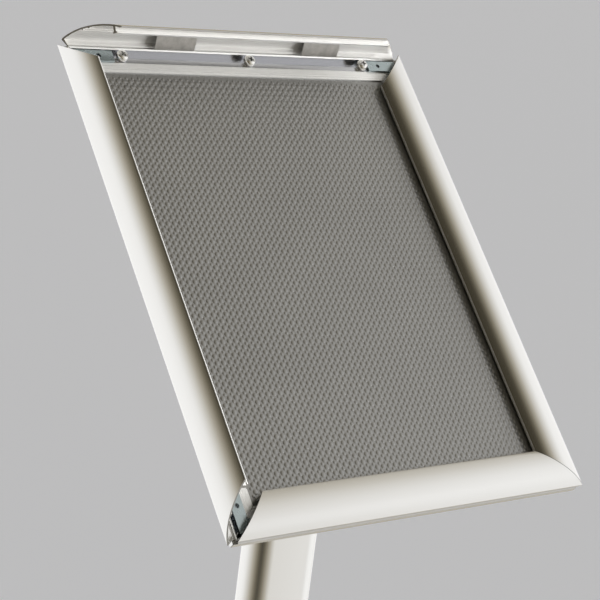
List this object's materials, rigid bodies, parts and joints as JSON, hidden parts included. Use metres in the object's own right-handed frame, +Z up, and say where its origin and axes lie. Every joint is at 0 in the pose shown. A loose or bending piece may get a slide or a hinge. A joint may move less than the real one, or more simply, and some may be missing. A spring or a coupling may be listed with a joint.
{
  "type": "snap frame poster stand",
  "caption": "Floor stand with a snap-open poster frame leaning back on a tilt head, on a flat-oval post and a round base.",
  "frame": {"origin": "middle of the underside of the base, on the floor", "axes": "+Z up along the post; the poster faces -Y and leans back towards +Y; +X to the viewer's right"},
  "size_m": [0.35, 0.35, 1.1898],
  "materials": {
    "cover_anodised": "satin silver anodised",
    "rail_anodised": "bright silver anodised",
    "post_anodised": "satin silver anodised",
    "plain_aluminium": "machined",
    "spring_steel": "dull rolled",
    "corner_steel": "bluish zinc plate",
    "zinc_plate": "zinc plate",
    "zinc_fastener": "bright zinc plate",
    "grey_sheet": "dimpled matt",
    "base_coating": "fine silver powder coat",
    "pad_rubber": "matt"
  },
  "bodies": {
    "stand": {"base_plate": "base_coating", "foot_pad_1": "pad_rubber", "foot_pad_2": "pad_rubber", "foot_pad_3": "pad_rubber", "foot_pad_4": "pad_rubber", "base_bolt_1": "zinc_fastener", "base_bolt_2": "zinc_fastener", "foot_plug": "plain_aluminium", "foot_screw_1": "zinc_fastener", "foot_screw_2": "zinc_fastener", "post_tube": "post_anodised", "head_screw_1": "zinc_fastener", "head_screw_2": "zinc_fastener", "post_head": "plain_aluminium"},
    "frame": {"base_rail_bottom": "rail_anodised", "base_rail_right": "rail_anodised", "base_rail_top": "rail_anodised", "base_rail_left": "rail_anodised", "corner_plate_bottom_left": "corner_steel", "corner_plate_bottom_right": "corner_steel", "corner_plate_top_right": "corner_steel", "corner_plate_top_left": "corner_steel", "rail_screw_bottom_1": "zinc_fastener", "rail_screw_bottom_2": "zinc_fastener", "rail_screw_right_1": "zinc_fastener", "rail_screw_right_2": "zinc_fastener", "rail_screw_top_1": "zinc_fastener", "rail_screw_top_2": "zinc_fastener", "rail_screw_left_1": "zinc_fastener", "rail_screw_left_2": "zinc_fastener", "strap_screw_top": "zinc_fastener", "strap_screw_bottom": "zinc_fastener", "strap_nut_top": "zinc_fastener", "strap_nut_bottom": "zinc_fastener", "back_strap": "zinc_plate", "tilt_bracket": "zinc_plate", "bracket_screw_1": "zinc_fastener", "bracket_screw_2": "zinc_fastener", "bracket_screw_3": "zinc_fastener", "bracket_screw_4": "zinc_fastener", "tilt_bolt": "zinc_fastener", "tilt_washer_left": "zinc_fastener", "tilt_washer_right": "zinc_fastener", "tilt_nut": "zinc_fastener", "backing_sheet": "grey_sheet"},
    "cover_bottom": {"cover_bottom": "cover_anodised"},
    "leaf_spring_bottom_1": {"leaf_spring_bottom_1": "spring_steel"},
    "leaf_spring_bottom_2": {"leaf_spring_bottom_2": "spring_steel"},
    "cover_right": {"cover_right": "cover_anodised"},
    "leaf_spring_right_1": {"leaf_spring_right_1": "spring_steel"},
    "leaf_spring_right_2": {"leaf_spring_right_2": "spring_steel"},
    "cover_top": {"cover_top": "cover_anodised"},
    "leaf_spring_top_1": {"leaf_spring_top_1": "spring_steel"},
    "leaf_spring_top_2": {"leaf_spring_top_2": "spring_steel"},
    "cover_left": {"cover_left": "cover_anodised"},
    "leaf_spring_left_1": {"leaf_spring_left_1": "spring_steel"},
    "leaf_spring_left_2": {"leaf_spring_left_2": "spring_steel"}
  },
  "joints": [
    {"name": "frame_tilt", "type": "hinge", "parent": "stand", "child": "frame", "pos_m": [0, 0, 1.05], "axis": [1, 0, 0], "range_deg": [-20, 20]},
    {"name": "cover_bottom_hinge", "type": "hinge", "parent": "frame", "child": "cover_bottom", "pos_m": [0, -0.11851, 0.95723], "axis": [1, 0, 0], "range_deg": [0, 90]},
    {"name": "leaf_bottom_1_hinge", "type": "hinge", "parent": "frame", "child": "leaf_spring_bottom_1", "pos_m": [-0.058, -0.11912, 0.9595], "axis": [1, 0, 0], "range_deg": [0, 110.3]},
    {"name": "leaf_bottom_2_hinge", "type": "hinge", "parent": "frame", "child": "leaf_spring_bottom_2", "pos_m": [0.05, -0.11912, 0.9595], "axis": [1, 0, 0], "range_deg": [0, 110.3]},
    {"name": "cover_right_hinge", "type": "hinge", "parent": "frame", "child": "cover_right", "pos_m": [0.1219, -0.01004, 1.0657], "axis": [0, 0.7071, 0.7071], "range_deg": [0, 90]},
    {"name": "leaf_right_1_hinge", "type": "hinge", "parent": "frame", "child": "leaf_spring_right_1", "pos_m": [0.12072, -0.07477, 1.00385], "axis": [0, 0.7071, 0.7071], "range_deg": [0, 110.3]},
    {"name": "leaf_right_2_hinge", "type": "hinge", "parent": "frame", "child": "leaf_spring_right_2", "pos_m": [0.12072, 0.04615, 1.12477], "axis": [0, 0.7071, 0.7071], "range_deg": [0, 110.3]},
    {"name": "cover_top_hinge", "type": "hinge", "parent": "frame", "child": "cover_top", "pos_m": [0, 0.09843, 1.17417], "axis": [-1, 0, 0], "range_deg": [-74.4, 15.6]},
    {"name": "leaf_top_1_hinge", "type": "hinge", "parent": "frame", "child": "leaf_spring_top_1", "pos_m": [0.058, 0.09616, 1.17478], "axis": [-1, 0, 0], "range_deg": [-91.3, 19.5]},
    {"name": "leaf_top_2_hinge", "type": "hinge", "parent": "frame", "child": "leaf_spring_top_2", "pos_m": [-0.05, 0.09616, 1.17478], "axis": [-1, 0, 0], "range_deg": [-91.3, 19.5]},
    {"name": "cover_left_hinge", "type": "hinge", "parent": "frame", "child": "cover_left", "pos_m": [-0.1219, -0.01004, 1.0657], "axis": [0, -0.7071, -0.7071], "range_deg": [-76.4, 13.6]},
    {"name": "leaf_left_1_hinge", "type": "hinge", "parent": "frame", "child": "leaf_spring_left_1", "pos_m": [-0.12072, 0.05181, 1.13042], "axis": [0, -0.7071, -0.7071], "range_deg": [-93.7, 17.1]},
    {"name": "leaf_left_2_hinge", "type": "hinge", "parent": "frame", "child": "leaf_spring_left_2", "pos_m": [-0.12072, -0.06911, 1.00951], "axis": [0, -0.7071, -0.7071], "range_deg": [-93.7, 17.1]}
  ],
  "couplings": [
    {"joint": "leaf_bottom_1_hinge", "follows": "cover_bottom_hinge", "ratio": 1.22},
    {"joint": "leaf_bottom_2_hinge", "follows": "cover_bottom_hinge", "ratio": 1.22},
    {"joint": "leaf_right_1_hinge", "follows": "cover_right_hinge", "ratio": 1.22},
    {"joint": "leaf_right_2_hinge", "follows": "cover_right_hinge", "ratio": 1.22},
    {"joint": "leaf_top_1_hinge", "follows": "cover_top_hinge", "ratio": 1.22},
    {"joint": "leaf_top_2_hinge", "follows": "cover_top_hinge", "ratio": 1.22},
    {"joint": "leaf_left_1_hinge", "follows": "cover_left_hinge", "ratio": 1.22},
    {"joint": "leaf_left_2_hinge", "follows": "cover_left_hinge", "ratio": 1.22}
  ]
}
